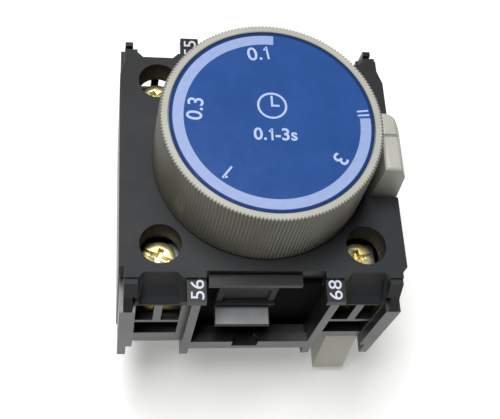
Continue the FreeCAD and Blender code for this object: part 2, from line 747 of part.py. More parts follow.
def terminal_strip(sign_x, sign_y):
    pad = box(terminal_x - strip_width / 2, terminal_x + strip_width / 2, pocket_out + assembly_gap,
              front_in - assembly_gap, strip_bottom, strip_top)
    tail = box(contact_x - strip_tail_width / 2, contact_x + strip_tail_width / 2,
               contact_half_span - bridge_overhang, pocket_out + 1, strip_bottom, strip_top)
    hole = rod(terminal_x, terminal_y, strip_bottom - 1, strip_top + 1, screw_radius + running_gap)
    return at_corner(fuse([pad, tail]).cut(hole), sign_x, sign_y)


def terminal_clamp(sign_x, sign_y):
    z_top = face_height - screw_head_depth - screw_head_height
    z_bottom = z_top - clamp_thickness
    half = clamp_width / 2
    y0 = terminal_y - clamp_length / 2
    y1 = terminal_y + clamp_length / 2
    plate = box(terminal_x - half, terminal_x + half, y0, y1, z_bottom, z_top)
    cheeks = [box(terminal_x - half, terminal_x - half + clamp_cheek_wall, y0, y1,
                  z_bottom - clamp_cheek_drop, z_bottom),
              box(terminal_x + half - clamp_cheek_wall, terminal_x + half, y0, y1,
                  z_bottom - clamp_cheek_drop, z_bottom)]
    hole = rod(terminal_x, terminal_y, z_bottom - 1, z_top + 1, screw_radius + running_gap)
    return at_corner(fuse([plate] + cheeks).cut(hole), sign_x, sign_y)


def terminal_screw(sign_x, sign_y):
    z_top = face_height - screw_head_depth
    z_under = z_top - screw_head_height
    head = rod(terminal_x, terminal_y, z_under, z_top, screw_head_radius)
    head = head.makeChamfer(0.3, [edge for edge in head.Edges if abs(edge.CenterOfMass.z - z_top) < 0.01])
    shank = rod(terminal_x, terminal_y, face_height - screw_tip_depth, z_under, screw_radius)
    half_slot = screw_slot_width / 2
    half_cross = screw_cross_size / 2
    slot = box(terminal_x - screw_head_radius - 1, terminal_x + screw_head_radius + 1,
               terminal_y - half_slot, terminal_y + half_slot, z_top - screw_slot_depth, z_top + 1)
    cross = box(terminal_x - half_slot, terminal_x + half_slot, terminal_y - half_cross,
                terminal_y + half_cross, z_top - screw_slot_depth, z_top + 1)
    return at_corner(fuse([head, shank]).cut([slot, cross]), sign_x, sign_y)


# --- Coupling yoke ---------------------------------------------------------------
def coupling_yoke():
    stem = box(-yoke_half, yoke_half, -yoke_half, yoke_half, -yoke_reach, bar_bottom)
    flange = rod(0, 0, bar_bottom - yoke_flange, bar_bottom, yoke_flange_radius)
    slot = box(-yoke_half + yoke_slot_depth, yoke_half - yoke_slot_depth, -yoke_half - 1, yoke_half + 1,
               -yoke_reach - 1, -yoke_reach + yoke_slot_height)
    return cut(fuse([stem, flange]), [slot])


def yoke_return_spring():
    return coil(0, 0, base_floor, bar_bottom - yoke_flange, return_spring_radius, return_spring_wire,
                return_spring_turns)


# --- Locking lever ---------------------------------------------------------------
def locking_lever():
    z_foot = cover_under + lever_foot_clear
    z_top = face_height + lever_rise
    tab = prism_y([(lever_foot_in, z_foot), (lever_foot_out, z_foot), (lever_foot_out, face_height),
                   (lever_foot_out - lever_shoulder_inset, face_height + lever_shoulder_rise),
                   (lever_foot_out - lever_top_inset, z_top), (lever_foot_in + 0.2, z_top)],
                  -lever_low, lever_high)
    corner = [edge for edge in tab.Edges if edge.CenterOfMass.y > lever_high - 0.01
              and edge.CenterOfMass.x > lever_foot_in + 2.5 and edge.CenterOfMass.z > face_height + 1]
    tab = tab.makeFillet(lever_corner_round, corner)
    rest = [edge for edge in tab.Edges if edge.CenterOfMass.z > z_top - 0.01
            and edge.CenterOfMass.y < lever_high - 1.0]
    tab = tab.makeFillet(lever_round, rest)
    groove = prism_x([(-index_groove / 2, z_top + 0.01), (index_groove / 2, z_top + 0.01), (0, z_top - index_groove)],
                     lever_foot_in - 1, lever_foot_out + 1)
    leg = box(lever_leg_in, lever_leg_out, -lever_leg_low, lever_leg_high, lever_arm_bottom,
              cover_under - lever_foot_clear)
    neck = box(lever_foot_in, lever_leg_out, -lever_leg_low, lever_leg_high, cover_under - lever_foot_clear - 1,
               z_foot + 1)
    y_latch = -(half_height - latch_inset)
    arm = box(lever_leg_in, lever_leg_out, y_latch + 0.5, 0, lever_arm_bottom, lever_arm_top)
    latch_right = wing_out - wing_wall - guide_gap
    z_latch = pocket_under - latch_clear
    plate = prism_x([(y_latch + latch_thickness, latch_foot), (y_latch - latch_lean, latch_foot),
                     (y_latch, z_latch), (y_latch + latch_thickness, z_latch)],
                    latch_right - latch_width, latch_right)
    plate = plate.makeFillet(latch_round, edges_along(plate, vec(1, 0, 0), lambda p: p.z > z_latch - 0.01))
    hook = prism_x([(y_latch + latch_thickness, latch_foot), (y_latch + latch_thickness + latch_hook, latch_foot + 1),
                    (y_latch + latch_thickness, latch_foot + 2.4)], latch_right - latch_width, latch_right)
    bore = Part.makeCylinder(lever_pin_radius + running_gap, body_width, vec(0, 0, lever_pivot_z), vec(1, 0, 0))
    pocket = Part.makeCylinder(lever_spring_radius + 0.6, 1.2, vec(lever_leg_out - 1.2, 0, lever_pivot_z),
                               vec(1, 0, 0))
    return cut(fuse([tab, neck, leg, arm, plate, hook]), [groove, bore, pocket])


def lever_pin():
    return Part.makeCylinder(lever_pin_radius, half_width - guide_x - 0.5, vec(guide_x, 0, lever_pivot_z),
                             vec(1, 0, 0))


def lever_spring():
    spring = coil(0, 0, 0, 1.1, lever_spring_radius, lever_spring_wire, lever_spring_turns)
    spring.rotate(vec(0, 0, 0), vec(0, 1, 0), 90)
    spring.translate(vec(lever_leg_out - 1.15, 0, lever_pivot_z))
    return spring


# --- Write one file per sub-part -------------------------------------------------
def save(name, *solids):
    shape = solids[0] if len(solids) == 1 else Part.makeCompound(solids)
    print(name, len(shape.Solids), "valid" if shape.isValid() else "NOT VALID", round(shape.Volume, 3))
    shape.exportStep("parts/" + name + ".step")


os.makedirs("parts", exist_ok=True)
save("base_housing", base_housing())
save("main_housing", main_housing())
save("front_cover", front_cover())
save("marker_holder", marker_holder())
save("dial_knob", dial_knob())
save("dial_label", dial_label())
save("dial_spindle", dial_spindle())
save("spindle_clip", spindle_clip())
save("metering_disc", metering_disc())
save("metering_plate", metering_plate())
save("seal_ring", seal_ring())
save("air_filter", air_filter())
save("timing_head", timing_head())
save("check_valve", check_valve())
save("bellows", bellows())
save("bellows_plate", bellows_plate())
save("delay_spring", delay_spring())
save("contact_carrier", contact_carrier())
save("nc_contact_bridge", contact_bridge(-1, nc_bridge_bottom))
save("no_contact_bridge", contact_bridge(1, no_bridge_bottom))
save("moving_contact_tips", *contact_tips(-1, nc_bridge_top), *contact_tips(1, no_moving_tip))
save("fixed_contact_tips", *contact_tips(-1, nc_fixed_tip), *contact_tips(1, strip_top))
save("nc_contact_spring", coil(-contact_x, 0, nc_sill, nc_bridge_bottom, contact_spring_radius,
                               contact_spring_wire, contact_spring_turns))
save("no_contact_spring", coil(contact_x, 0, no_bridge_top, no_lintel, contact_spring_radius,
                               contact_spring_wire, contact_spring_turns))
for number, (sign_x, sign_y) in terminals.items():
    save("terminal_strip_" + number, terminal_strip(sign_x, sign_y))
    save("terminal_clamp_" + number, terminal_clamp(sign_x, sign_y))
    save("terminal_screw_" + number, terminal_screw(sign_x, sign_y))
save("coupling_yoke", coupling_yoke())
save("yoke_return_spring", yoke_return_spring())
save("locking_lever", locking_lever())
save("lever_pin", lever_pin())
save("lever_spring", lever_spring())
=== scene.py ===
import bpy
import json
import math
from mathutils import Matrix, Vector


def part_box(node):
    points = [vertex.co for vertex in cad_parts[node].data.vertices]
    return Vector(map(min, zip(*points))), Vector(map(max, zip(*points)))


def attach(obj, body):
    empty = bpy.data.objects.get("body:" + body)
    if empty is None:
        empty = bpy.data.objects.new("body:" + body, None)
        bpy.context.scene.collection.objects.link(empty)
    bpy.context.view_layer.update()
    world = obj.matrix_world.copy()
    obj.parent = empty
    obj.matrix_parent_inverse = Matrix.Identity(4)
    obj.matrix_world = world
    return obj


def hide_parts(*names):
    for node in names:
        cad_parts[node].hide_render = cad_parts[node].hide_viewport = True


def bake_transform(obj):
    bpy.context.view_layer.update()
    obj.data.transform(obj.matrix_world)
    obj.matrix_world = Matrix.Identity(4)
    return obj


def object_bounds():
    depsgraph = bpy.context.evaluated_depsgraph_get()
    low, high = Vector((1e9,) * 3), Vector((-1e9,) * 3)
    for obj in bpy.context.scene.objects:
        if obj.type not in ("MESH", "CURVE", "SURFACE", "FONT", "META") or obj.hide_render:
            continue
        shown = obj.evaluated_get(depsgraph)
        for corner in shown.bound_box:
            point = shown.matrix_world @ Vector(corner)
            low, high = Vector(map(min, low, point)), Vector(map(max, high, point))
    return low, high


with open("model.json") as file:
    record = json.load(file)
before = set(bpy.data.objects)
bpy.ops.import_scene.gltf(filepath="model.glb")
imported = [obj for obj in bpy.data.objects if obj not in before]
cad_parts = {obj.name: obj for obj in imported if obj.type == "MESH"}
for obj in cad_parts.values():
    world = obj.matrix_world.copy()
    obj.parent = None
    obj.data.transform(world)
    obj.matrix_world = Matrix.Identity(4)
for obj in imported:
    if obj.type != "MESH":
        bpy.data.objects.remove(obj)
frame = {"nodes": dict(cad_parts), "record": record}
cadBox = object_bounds()
mm = 0.001
nodes = frame["nodes"]
print("frame loaded:", len(nodes), "nodes")


# small helpers used by every piece
def place(name):
    low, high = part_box(name)
    return low, high, (low + high) / 2


def clearSelection():
    if bpy.context.mode != "OBJECT":
        bpy.ops.object.mode_set(mode="OBJECT")
    bpy.ops.object.select_all(action="DESELECT")


def started(name):
    piece = bpy.context.active_object
    piece.name = name
    piece.data.name = name
    return piece


def selectFaces(piece, test):
    bpy.ops.object.mode_set(mode="OBJECT")
    mesh = piece.data
    for part in (mesh.vertices, mesh.edges, mesh.polygons):
        part.foreach_set("select", [False] * len(part))
    for face in mesh.polygons:
        face.select = bool(test(face))
    bpy.ops.object.mode_set(mode="EDIT")
    bpy.ops.mesh.select_mode(type="FACE")


def selectVerts(piece, test):
    bpy.ops.object.mode_set(mode="OBJECT")
    mesh = piece.data
    for part in (mesh.vertices, mesh.edges, mesh.polygons):
        part.foreach_set("select", [False] * len(part))
    for vertex in mesh.vertices:
        vertex.select = bool(test(vertex.co))
    bpy.ops.object.mode_set(mode="EDIT")
    bpy.ops.mesh.select_mode(type="VERT")


def finished(piece, body, material, replaced=()):
    if bpy.context.mode != "OBJECT":
        bpy.ops.object.mode_set(mode="OBJECT")
    clearSelection()
    piece.select_set(True)
    bpy.context.view_layer.objects.active = piece
    bpy.ops.object.transform_apply(location=True, rotation=True, scale=True)
    piece.data.materials.clear()
    piece.data.materials.append(material)
    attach(piece, body)
    if replaced:
        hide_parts(*replaced)
    piece.select_set(False)
    return piece


def applyModifier(piece, kind, **settings):
    modifier = piece.modifiers.new(kind.title(), kind)
    for key, value in settings.items():
        setattr(modifier, key, value)
    bpy.context.view_layer.objects.active = piece
    bpy.ops.object.modifier_apply(modifier=modifier.name)


def joined(pieces, name):
    clearSelection()
    for piece in pieces:
        piece.select_set(True)
    bpy.context.view_layer.objects.active = pieces[0]
    bpy.ops.object.join()
    return started(name)


def copied(piece, name, move=(0, 0, 0)):
    other = piece.copy()
    other.data = piece.data.copy()
    other.name = name
    other.data.name = name
    bpy.context.scene.collection.objects.link(other)
    other.data.transform(Matrix.Translation(Vector(move)))
    return other


# materials
def linearColour(hexColour):
    colour = []
    for i in (1, 3, 5):
        value = int(hexColour[i:i + 2], 16) / 255
        colour.append(value / 12.92 if value <= 0.04045 else ((value + 0.055) / 1.055) ** 2.4)
    return (*colour, 1.0)


def addNode(tree, kind, settings=None, links=None):
    # settings: a node property by its name, an input by its name or number, or the stops of a colour ramp
    node = tree.nodes.new(kind)
    for key, value in (settings or {}).items():
        if key == "stops":
            while len(node.color_ramp.elements) < len(value):
                node.color_ramp.elements.new(0.5)
            for element, (position, colour) in zip(node.color_ramp.elements, value):
                element.position = position
                grey = not isinstance(colour, str)
                element.color = (colour, colour, colour, 1) if grey else linearColour(colour)
        elif isinstance(key, str) and hasattr(node, key):
            setattr(node, key, value)
        else:
            node.inputs[key].default_value = value
    for key, source in (links or {}).items():
        tree.links.new(source, node.inputs[key])
    return node


def newMaterial(name, roughness, metallic=0.0, ior=None):
    material = bpy.data.materials.new(name)
    material.use_nodes = True
    tree = material.node_tree
    shader = tree.nodes["Principled BSDF"]
    shader.inputs["Roughness"].default_value = roughness
    shader.inputs["Metallic"].default_value = metallic
    if ior:
        shader.inputs["IOR"].default_value = ior
    where = addNode(tree, "ShaderNodeTexCoord").outputs["Object"]
    return material, tree, shader, where


def perMetre(sizeMm):
    return 1000.0 / sizeMm


def insideBox(tree, where, low, high):
    # 1 inside the box in millimetres, mirrored about X = 0 and Y = 0
    mirrored = addNode(tree, "ShaderNodeVectorMath", {"operation": "ABSOLUTE"}, {0: where})
    parts = addNode(tree, "ShaderNodeSeparateXYZ", links={0: mirrored.outputs[0]})
    result = None
    for axis, start, end in zip("XYZ", low, high):
        along = parts.outputs[axis]
        above = addNode(tree, "ShaderNodeMath", {"operation": "GREATER_THAN", 1: start * mm}, {0: along})
        below = addNode(tree, "ShaderNodeMath", {"operation": "LESS_THAN", 1: end * mm}, {0: along})
        both = addNode(tree, "ShaderNodeMath", {"operation": "MULTIPLY"},
                       {0: above.outputs[0], 1: below.outputs[0]})
        if result:
            both = addNode(tree, "ShaderNodeMath", {"operation": "MULTIPLY"},
                           {0: both.outputs[0], 1: result})
        result = both.outputs[0]
    return result


def mouldedPlastic(name, look):
    # thermoplastic from a spark-eroded mould: satin, a fine even grain, dust and a painted top light on what
    # faces up
    material, tree, shader, where = newMaterial(name, look["roughness"], ior=look.get("ior", 1.5))
    mottle = addNode(tree, "ShaderNodeTexNoise", {"Scale": perMetre(look["mottleMm"]), "Detail": 4.0},
                     {"Vector": where})
    body = addNode(tree, "ShaderNodeValToRGB", {"stops": [(0.3, look["dark"]), (0.7, look["light"])]},
                   {0: mottle.outputs["Fac"]})
    geometry = addNode(tree, "ShaderNodeNewGeometry")
    facing = addNode(tree, "ShaderNodeSeparateXYZ", links={0: geometry.outputs["Normal"]})
    specks = addNode(tree, "ShaderNodeTexNoise",
                     {"Scale": perMetre(look["dustMm"]), "Detail": 6.0, "Roughness": 0.7},
                     {"Vector": where})
    patchy = addNode(tree, "ShaderNodeValToRGB", {"stops": [(0.35, 0.35), (0.75, 1.0)]},
                     {0: specks.outputs["Fac"]})
    # dust and painted top light: faces turned up are lightened, in patches, towards a pale colour
    dustAndTopLightMask = addNode(tree, "ShaderNodeMath", {"operation": "MULTIPLY", "use_clamp": True},
                    {0: facing.outputs["Z"], 1: patchy.outputs["Color"]})
    dustAndTopLightShare = addNode(tree, "ShaderNodeMath", {"operation": "MULTIPLY", 1: look["dustAndTopLightAmount"]},
                     {0: dustAndTopLightMask.outputs[0]})
    colour = addNode(tree, "ShaderNodeMix", {"data_type": "RGBA", 7: linearColour(look["dustAndTopLight"])},
                     {0: dustAndTopLightShare.outputs[0], 6: body.outputs["Color"]}).outputs[2]
    # painted side shade: upright faces are darkened towards a shade colour
    if "paintedSideShade" in look:
        upright = addNode(tree, "ShaderNodeMath", {"operation": "ABSOLUTE"}, {0: facing.outputs["Z"]})
        sideShadeShare = addNode(tree, "ShaderNodeMapRange", {1: 0.9, 2: 0.3, 3: 0.0, 4: look["paintedSideShadeAmount"]},
                        {0: upright.outputs[0]})
        colour = addNode(tree, "ShaderNodeMix", {"data_type": "RGBA", 7: linearColour(look["paintedSideShade"])},
                         {0: sideShadeShare.outputs[0], 6: colour}).outputs[2]
    stops = [(0.3, look["roughness"] - 0.05), (0.7, look["roughness"] + 0.06)]
    sheen = addNode(tree, "ShaderNodeValToRGB", {"stops": stops}, {0: mottle.outputs["Fac"]}).outputs[0]
    if "inside" in look:
        # surfaces set back inside this box keep the tool's dull finish, and their colour is darkened as
        # painted shade
        low, high = look["inside"]
        inside = insideBox(tree, where, low, high)
        dark = linearColour(look["insideColour"])
        colour = addNode(tree, "ShaderNodeMix", {"data_type": "RGBA", 7: dark},
                         {0: inside, 6: colour}).outputs[2]
        dull = (look["insideRoughness"],) * 3 + (1,)
        sheen = addNode(tree, "ShaderNodeMix", {"data_type": "RGBA", 7: dull},
                        {0: inside, 6: sheen}).outputs[2]
        gloss = addNode(tree, "ShaderNodeMapRange", {3: 0.5, 4: look["insideGloss"]}, {0: inside})
        tree.links.new(gloss.outputs[0], shader.inputs["Specular IOR Level"])
    tree.links.new(colour, shader.inputs["Base Color"])
    grain = addNode(tree, "ShaderNodeTexNoise", {"Scale": perMetre(look["grainMm"]), "Detail": 3.0},
                    {"Vector": where})
    bump = addNode(tree, "ShaderNodeBump", {"Strength": look["grainStrength"], "Distance": 0.03 * mm},
                   {"Height": grain.outputs["Fac"]})
    tree.links.new(bump.outputs[0], shader.inputs["Normal"])
    tree.links.new(sheen, shader.inputs["Roughness"])
    return material


def platedMetal(name, look):
    # steel under a thin plating: colour drifts with the plating's thickness, fine marks from the tool
    material, tree, shader, where = newMaterial(name, look["roughness"], metallic=1.0)
    drift = addNode(tree, "ShaderNodeTexNoise", {"Scale": perMetre(look["driftMm"]), "Detail": 2.0},
                    {"Vector": where})
    colour = addNode(tree, "ShaderNodeValToRGB", {"stops": look["colours"]}, {0: drift.outputs["Fac"]})
    tree.links.new(colour.outputs["Color"], shader.inputs["Base Color"])
    marks = addNode(tree, "ShaderNodeTexNoise",
                    {"Scale": perMetre(look["markMm"]), "Detail": 5.0, "Roughness": 0.65}, {"Vector": where})
    stops = [(0.3, look["roughness"] - 0.08), (0.7, look["roughness"] + 0.12)]
    sheen = addNode(tree, "ShaderNodeValToRGB", {"stops": stops}, {0: marks.outputs["Fac"]})
    tree.links.new(sheen.outputs["Color"], shader.inputs["Roughness"])
    bump = addNode(tree, "ShaderNodeBump", {"Strength": 0.25, "Distance": 0.02 * mm},
                   {"Height": marks.outputs["Fac"]})
    tree.links.new(bump.outputs[0], shader.inputs["Normal"])
    return material


# housing and base: black, glossier on the outside, dull in the recesses, which are darkened with painted
# shade
blackPolyamide = mouldedPlastic("blackPolyamideMoulded", {
    "dark": "#0f1013", "light": "#15161a", "roughness": 0.36, "ior": 1.68,
    "inside": ((-1, -1, 14.2), (10.15, 20.2, 38.0)), "insideColour": "#020203", "insideRoughness": 0.9,
    "insideGloss": 0.06, "mottleMm": 9, "dustMm": 2.5,
    "dustAndTopLight": "#6b6e70", "dustAndTopLightAmount": 0.04, "grainMm": 0.28, "grainStrength": 0.35})
# cover: a grey black with a fine matt face, its set-back recesses darkened with painted shade
facePolyamide = mouldedPlastic("greyBlackPolyamideMoulded", {
    "dark": "#16181b", "light": "#1b1d21", "roughness": 0.62, "inside": ((-1, 18.3, 20), (12.4, 30, 39.3)),
    "insideColour": "#0b0c0f", "insideRoughness": 0.5, "insideGloss": 0.5, "mottleMm": 11, "dustMm": 2.0,
    "dustAndTopLight": "#7b7f80", "dustAndTopLightAmount": 0.04, "grainMm": 0.3, "grainStrength": 0.4})
# lever and timing head: warm light grey, satin
beigeThermoplastic = mouldedPlastic("beigePolycarbonateMoulded", {
    "dark": "#b2b2a6", "light": "#c0c0b6", "roughness": 0.4, "mottleMm": 7, "dustMm": 1.6,
    "dustAndTopLight": "#c9cac4", "dustAndTopLightAmount": 0.2, "grainMm": 0.35, "grainStrength": 0.25})
# dial: the same beige, with the skirt and its other upright faces darkened as painted shade
knurledBeige = mouldedPlastic("beigePolycarbonateSideShaded", {
    "dark": "#b2b2a6", "light": "#c0c0b6", "roughness": 0.42, "mottleMm": 7, "dustMm": 1.6,
    "dustAndTopLight": "#c9cac4", "dustAndTopLightAmount": 0.2, "paintedSideShade": "#4d4a3c", "paintedSideShadeAmount": 0.82, "grainMm": 0.35,
    "grainStrength": 0.25})
# marker box: flat black, no sheen
mattBlack = mouldedPlastic("blackPolyamideMatt", {
    "dark": "#060608", "light": "#0a0a0c", "roughness": 0.72, "mottleMm": 6, "dustMm": 2.5,
    "dustAndTopLight": "#6b6e70", "dustAndTopLightAmount": 0.05, "grainMm": 0.28, "grainStrength": 0.3})
# carrier and yoke inside: slippery off-white
whiteAcetal = mouldedPlastic("whiteAcetalMoulded", {
    "dark": "#d6d6cf", "light": "#e2e2dc", "roughness": 0.35, "mottleMm": 6, "dustMm": 1.6,
    "dustAndTopLight": "#c9cac4", "dustAndTopLightAmount": 0.1, "grainMm": 0.4, "grainStrength": 0.15})
# bellows and seal: soft black
blackRubber = mouldedPlastic("blackNitrileRubber", {
    "dark": "#141414", "light": "#1b1b1b", "roughness": 0.6, "mottleMm": 4, "dustMm": 1.2,
    "dustAndTopLight": "#5a5a58", "dustAndTopLightAmount": 0.2, "grainMm": 0.2, "grainStrength": 0.5})
# air filter: fuzzy grey brown
filterFelt = mouldedPlastic("pressedWoolFelt", {
    "dark": "#8c877b", "light": "#a29c8f", "roughness": 0.9, "mottleMm": 0.8, "dustMm": 0.5,
    "dustAndTopLight": "#b9b4a8", "dustAndTopLightAmount": 0.3, "grainMm": 0.12, "grainStrength": 1.0})
# terminal screws: pale gold with a drifting tint
yellowZinc = platedMetal("yellowPassivatedSteel", {
    "roughness": 0.42, "driftMm": 2.2, "markMm": 0.35,
    "colours": [(0.3, "#c9b878"), (0.5, "#ddd19a"), (0.62, "#ebe4bd"), (0.8, "#c2ae74")]})
# clamps and pins: cold bright steel
brightZinc = platedMetal("brightZincPlatedSteel", {
    "roughness": 0.32, "driftMm": 3, "markMm": 0.4, "colours": [(0.3, "#9a9c9f"), (0.7, "#c4c6c9")]})
# springs: grey drawn wire
springWire = platedMetal("drawnSpringSteel", {
    "roughness": 0.35, "driftMm": 2, "markMm": 0.2, "colours": [(0.3, "#8b8c8e"), (0.7, "#b5b6b8")]})
# strips and bridges: dull tarnished brass
stampedBrass = platedMetal("stampedBrassStrip", {
    "roughness": 0.33, "driftMm": 4, "markMm": 0.4, "colours": [(0.3, "#5d4a24"), (0.7, "#7d6635")]})
# contact tips: soft white metal
silverAlloy = platedMetal("silverAlloyRivet", {
    "roughness": 0.3, "driftMm": 1, "markMm": 0.2, "colours": [(0.3, "#c6c5c2"), (0.7, "#e4e3df")]})


# printed film and inks
def printedFilm(name, look):
    # polyester film printed on its back: deep even blue, a darker edge, a semi-gloss face with faint marks
    material, tree, shader, where = newMaterial(name, look["roughness"], ior=1.35)
    xy = addNode(tree, "ShaderNodeVectorMath", {"operation": "MULTIPLY", 1: (1, 1, 0)}, {0: where})
    radius = addNode(tree, "ShaderNodeVectorMath", {"operation": "LENGTH"}, {0: xy.outputs[0]})
    edge = addNode(tree, "ShaderNodeMapRange", {1: look["edgeMm"] * mm, 2: (look["edgeMm"] + 0.08) * mm},
                   {0: radius.outputs["Value"]})
    cloud = addNode(tree, "ShaderNodeTexNoise", {"Scale": perMetre(look["cloudMm"]), "Detail": 3.0},
                    {"Vector": where})
    face = addNode(tree, "ShaderNodeValToRGB", {"stops": [(0.3, look["dark"]), (0.7, look["light"])]},
                   {0: cloud.outputs["Fac"]})
    printed = addNode(tree, "ShaderNodeMix", {"data_type": "RGBA", 7: linearColour(look["edge"])},
                      {0: edge.outputs[0], 6: face.outputs["Color"]})
    tree.links.new(printed.outputs[2], shader.inputs["Base Color"])
    wear = addNode(tree, "ShaderNodeTexNoise",
                   {"Scale": perMetre(look["wearMm"]), "Detail": 6.0, "Roughness": 0.7}, {"Vector": where})
    stops = [(0.35, look["roughness"] - 0.04), (0.75, look["roughness"] + 0.1)]
    sheen = addNode(tree, "ShaderNodeValToRGB", {"stops": stops}, {0: wear.outputs["Fac"]})
    tree.links.new(sheen.outputs["Color"], shader.inputs["Roughness"])
    return material


def printInk(name, look):
    # screen-printed ink, matt, with a slightly uneven coat
    material, tree, shader, where = newMaterial(name, look["roughness"], ior=1.5)
    coat = addNode(tree, "ShaderNodeTexNoise", {"Scale": perMetre(look["unevenMm"]), "Detail": 4.0},
                   {"Vector": where})
    colour = addNode(tree, "ShaderNodeValToRGB", {"stops": [(0.3, look["dark"]), (0.7, look["light"])]},
                     {0: coat.outputs["Fac"]})
    tree.links.new(colour.outputs["Color"], shader.inputs["Base Color"])
    return material


# disc in the dial: deep even blue with a darker rim
blueFilm = printedFilm("bluePrintedFilm", {
    "dark": "#2d5293", "light": "#32589c", "edge": "#223a70", "roughness": 0.2, "edgeMm": 15.12,
    "cloudMm": 6, "wearMm": 1.4})
# figures and ticks of the scale, near white on the blue
paleInk = printInk("paleBlueInk", {
    "dark": "#b4c6f0", "light": "#bfcff6", "roughness": 0.45, "unevenMm": 1.2})
# the scale's arc, the blue showing through a little
tintInk = printInk("tintedBlueInk", {
    "dark": "#97aad8", "light": "#a1b3e0", "roughness": 0.45, "unevenMm": 1.2})
# terminal numbers, cold white
whiteInk = printInk("whiteInk", {
    "dark": "#cfd6e6", "light": "#e0e6f2", "roughness": 0.5, "unevenMm": 0.8})
# a thin mid grey sheet on the marker ledge, a painted reflection of the light
paintedHighlightGrey = mouldedPlastic("paintedLedgeReflection", {
    "dark": "#85878a", "light": "#949698", "roughness": 0.5, "mottleMm": 3, "dustMm": 1.2,
    "dustAndTopLight": "#8e9091", "dustAndTopLightAmount": 0.15, "grainMm": 0.3, "grainStrength": 0.2})
print("materials made")


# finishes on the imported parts
finishes = {
    "black_thermoplastic": blackPolyamide,
    "grey_black_thermoplastic": facePolyamide,
    "beige_thermoplastic": beigeThermoplastic,
    "blue_printed_film": blueFilm,
    "white_acetal": whiteAcetal,
    "black_rubber": blackRubber,
    "filter_felt": filterFelt,
    "yellow_passivated_steel": yellowZinc,
    "zinc_plated_steel": brightZinc,
    "spring_steel": springWire,
    "turned_brass": stampedBrass,
    "contact_brass": stampedBrass,
    "contact_silver": silverAlloy,
}
softenedEdges = {
    "front_cover": 0.22, "main_housing": 0.16, "base_housing": 0.16, "marker_holder": 0.14,
    "locking_lever": 0.12, "timing_head": 0.1, "contact_carrier": 0.1, "coupling_yoke": 0.15,
}


def softenEdges(node, radiusMm):
    weld = node.modifiers.new("Weld", "WELD")
    weld.merge_threshold = 0.005 * mm
    flat = node.modifiers.new("Flat faces", "DECIMATE")
    flat.decimate_type = "DISSOLVE"
    flat.angle_limit = math.radians(1.0)
    bevel = node.modifiers.new("Soft edges", "BEVEL")
    bevel.width = radiusMm * mm
    bevel.segments = 2
    bevel.limit_method = "ANGLE"
    bevel.angle_limit = math.radians(35)
    bevel.harden_normals = True


for subpart in frame["record"]["subparts"]:
    node = nodes[subpart["node"]]
    finish = finishes[subpart["material_slot"]]
    if not node.material_slots:
        node.data.materials.append(finish)
    for materialSlot in node.material_slots:
        materialSlot.material = finish
nodes["marker_holder"].material_slots[0].material = mattBlack
for name, radiusMm in softenedEdges.items():
    softenEdges(nodes[name], radiusMm)
print("packed parts finished")


# turned shapes
def turned(name, profile, steps, centre=(0, 0)):
    clearSelection()
    radius, height = profile[0]
    bpy.ops.mesh.primitive_circle_add(vertices=steps, radius=radius * mm, fill_type="NGON",
                                      location=(centre[0] * mm, centre[1] * mm, height * mm))
    piece = started(name)
    bpy.ops.object.transform_apply(location=True)
    bpy.ops.object.mode_set(mode="EDIT")
    bpy.ops.mesh.select_all(action="SELECT")
    for nextRadius, nextHeight in profile[1:]:
        rise = (nextHeight - height) * mm
        bpy.ops.mesh.extrude_edges_move(TRANSFORM_OT_translate={"value": (0, 0, rise)})
        grow = nextRadius / radius
        bpy.ops.transform.resize(value=(grow, grow, 1), center_override=(centre[0] * mm, centre[1] * mm, 0))
        radius, height = nextRadius, nextHeight
    bpy.ops.mesh.edge_face_add()
    bpy.ops.mesh.select_all(action="SELECT")
    bpy.ops.mesh.normals_make_consistent(inside=False)
    bpy.ops.object.mode_set(mode="OBJECT")
    return piece


# setting dial
dialLow, dialHigh, _ = place("dial_knob")
labelLow, labelHigh, _ = place("dial_label")
dial = {
    "base": (dialHigh.x - dialLow.x) / 2 / mm, "top": 17.04, "low": dialLow.z / mm,
    "hubLow": dialLow.z / mm + 1.5, "high": dialHigh.z / mm, "seat": labelLow.z / mm, "seatRadius": 15.7,
    "wall": 1.7, "web": 2.0, "hub": 5.2, "footTop": 51.0, "rimTop": 54.0, "knurlInner": 16.7,
    "smoothAngle": 28,
    "socket": 2.55, "socketTop": 1.4, "teeth": 190, "toothDepth": 0.3, "toothFoot": 0.05, "softening": 0.18,
}


def dialProfile(look):
    soft = look["softening"]
    webLow = look["seat"] - look["web"]
    inner = look["base"] - look["wall"]
    return [
        (look["socket"], look["seat"] - look["socketTop"]), (look["socket"], look["hubLow"] + soft),
        (look["socket"] + soft, look["hubLow"]), (look["hub"] - soft, look["hubLow"]),
        (look["hub"], look["hubLow"] + soft), (look["hub"], webLow - soft), (look["hub"] + soft, webLow),
        (inner - soft, webLow), (inner, webLow - soft), (inner, look["low"] + soft),
        (inner + soft, look["low"]),
        (look["base"] - soft, look["low"]), (look["base"], look["low"] + soft),
        (look["top"] + 0.05, look["high"] - 0.42), (look["top"] - 0.06, look["high"] - 0.14),
        (look["top"] - 0.26, look["high"]), (look["seatRadius"] + 0.12, look["high"]),
        (look["seatRadius"], look["high"] - 0.1), (look["seatRadius"], look["seat"]),
    ]


knob = turned("knurledDial", dialProfile(dial), dial["teeth"] * 2)
toothAngle = math.pi / dial["teeth"]


def inKnurlValley(point):
    outside = math.hypot(point.x, point.y) > dial["knurlInner"] * mm
    onSkirt = point.z > dialLow.z + 0.1 * mm
    return outside and onSkirt and round(math.atan2(point.y, point.x) / toothAngle) % 2 == 0


